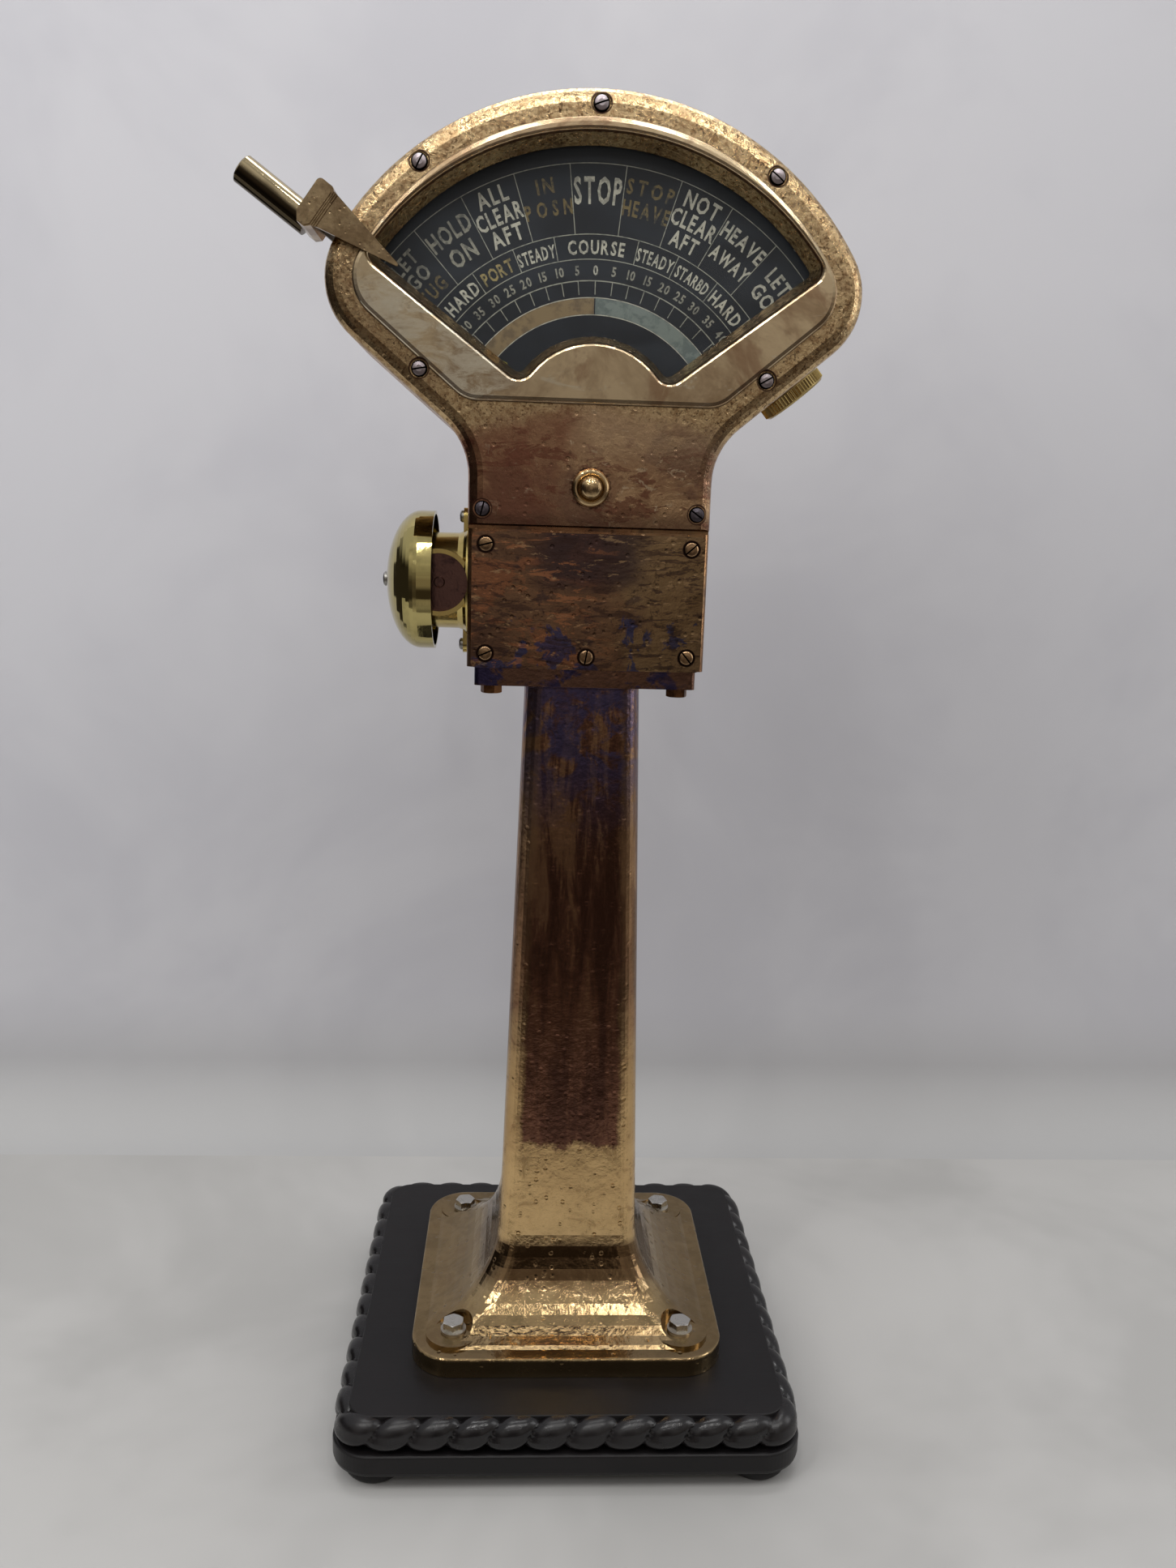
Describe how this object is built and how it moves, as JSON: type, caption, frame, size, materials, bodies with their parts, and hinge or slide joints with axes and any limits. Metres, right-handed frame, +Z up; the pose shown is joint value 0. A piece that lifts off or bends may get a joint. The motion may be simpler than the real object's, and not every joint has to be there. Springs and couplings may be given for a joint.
{
  "type": "ship engine telegraph",
  "caption": "Pedestal ship's order telegraph: a cast column on a wooden base carries a fan-shaped dial head with a swinging hand lever, reply pointer, push button, side bell and dial lamp.",
  "frame": {"origin": "on the floor, under the axis of the pedestal", "axes": "+X to the right of the dial as the operator sees it, -Y towards the operator (the dial's front), +Z up"},
  "size_m": [0.5342, 0.439, 1.224],
  "materials": {
    "black_wood": "black satin",
    "cast_brass": "polished rough casting with brown patches",
    "cover_brass": "polished, pitted band",
    "box_brass": "dark brown patina, polished",
    "polished_brass": "mirror polished",
    "gear_brass": "machined",
    "bolt_steel": "plain zinc grey",
    "screw_steel": "dark, slotted heads",
    "dark_bronze": "dark bronze",
    "window_glass": "clear flat glass",
    "gasket_rubber": "matte",
    "dial_black": "satin black enamel, cream markings",
    "pointer_paint": "olive yellow enamel",
    "insulation": "moulded insulation",
    "coil_wire": "varnished winding",
    "motor_paint": "dark grey enamel",
    "bulb_glass": "frosted"
  },
  "bodies": {
    "stand": {"bun_feet": "black_wood", "plinth_board": "black_wood", "base_board": "black_wood", "rope_moulding": "black_wood", "pedestal": "cast_brass", "foot_bolts": "bolt_steel", "foot_washers": "bolt_steel", "flange_bolts": "dark_bronze", "housing": "cast_brass", "head_cover": "cover_brass", "head_cover_screws": "screw_steel", "box_cover": "box_brass", "box_cover_screws": "dark_bronze", "glass_gasket": "gasket_rubber", "window_glass": "window_glass", "glass_retainer": "screw_steel", "dial_plate": "dial_black", "dial_screws": "screw_steel", "dial_pillars": "bolt_steel", "bearing_frame": "gear_brass", "front_bush": "polished_brass", "rear_bush": "polished_brass", "index_plate": "bolt_steel", "brush_holder": "insulation", "brushes": "gear_brass", "motor_case": "motor_paint", "lamp_boss": "cast_brass", "button_collar": "cover_brass", "contact_block": "insulation", "terminal_block": "insulation", "terminal_screws": "gear_brass", "bell_base": "polished_brass", "bell_base_screws": "dark_bronze", "bell_disc": "dark_bronze", "bell_coil": "coil_wire", "gong_post": "bolt_steel", "gong": "polished_brass", "gong_screw": "screw_steel"},
    "lever": {"lever_arm": "bolt_steel", "lever_head": "cover_brass", "lever_grip": "polished_brass", "main_shaft": "bolt_steel", "sector_gear": "gear_brass", "detent_roller": "bolt_steel"},
    "commutator": {"commutator_shaft": "bolt_steel", "commutator_drum": "gear_brass", "commutator_pinion": "gear_brass"},
    "reply": {"reply_pointer": "pointer_paint", "pointer_spindle": "bolt_steel", "pointer_gear": "gear_brass"},
    "motor": {"motor_rotor": "bolt_steel", "motor_pinion": "gear_brass"},
    "hammer": {"bell_hammer": "bolt_steel"},
    "button": {"push_button": "polished_brass", "button_spring": "bolt_steel"},
    "lamp": {"lamp_holder": "insulation", "lamp_bulb": "bulb_glass"},
    "cap": {"lamp_cap": "polished_brass"}
  },
  "joints": [
    {"name": "lever_turn", "type": "hinge", "parent": "stand", "child": "lever", "pos_m": [0, -0.061, 0.941], "axis": [0, 1, 0], "range_deg": [0, 100]},
    {"name": "commutator_turn", "type": "hinge", "parent": "stand", "child": "commutator", "pos_m": [0, 0, 0.861], "axis": [0, 1, 0], "range_deg": [-301, 1]},
    {"name": "reply_turn", "type": "hinge", "parent": "stand", "child": "reply", "pos_m": [0, 0, 0.941], "axis": [0, 1, 0], "range_deg": [0, 104]},
    {"name": "motor_turn", "type": "hinge", "parent": "stand", "child": "motor", "pos_m": [0, 0, 0.989], "axis": [0, 1, 0], "range_deg": [-313, 1]},
    {"name": "hammer_swing", "type": "hinge", "parent": "stand", "child": "hammer", "pos_m": [-0.146, 0.008, 0.797], "axis": [1, 0, 0], "range_deg": [0, 3], "stiffness_Nm_per_rad": 0.3, "springref_deg": -8.59},
    {"name": "button_push", "type": "slide", "parent": "stand", "child": "button", "axis": [0, 1, 0], "range_m": [0, 0.0035], "stiffness_N_per_m": 400, "springref_m": -0.003, "deforming": ["button_spring"]},
    {"name": "lamp_lift", "type": "slide", "parent": "stand", "child": "lamp", "axis": [0.6428, 0, -0.766], "range_m": [0, 0.0045]},
    {"name": "cap_turn", "type": "hinge", "parent": "lamp", "child": "cap", "pos_m": [0.18023, -0.025, 1.00244], "axis": [0.6428, 0, -0.766], "range_deg": [0, 1080]}
  ],
  "couplings": [
    {"joint": "commutator_turn", "follows": "lever_turn", "ratio": -3},
    {"joint": "motor_turn", "follows": "reply_turn", "ratio": -3},
    {"joint": "lamp_lift", "follows": "cap_turn", "m_per_rad": 0.00023873}
  ]
}
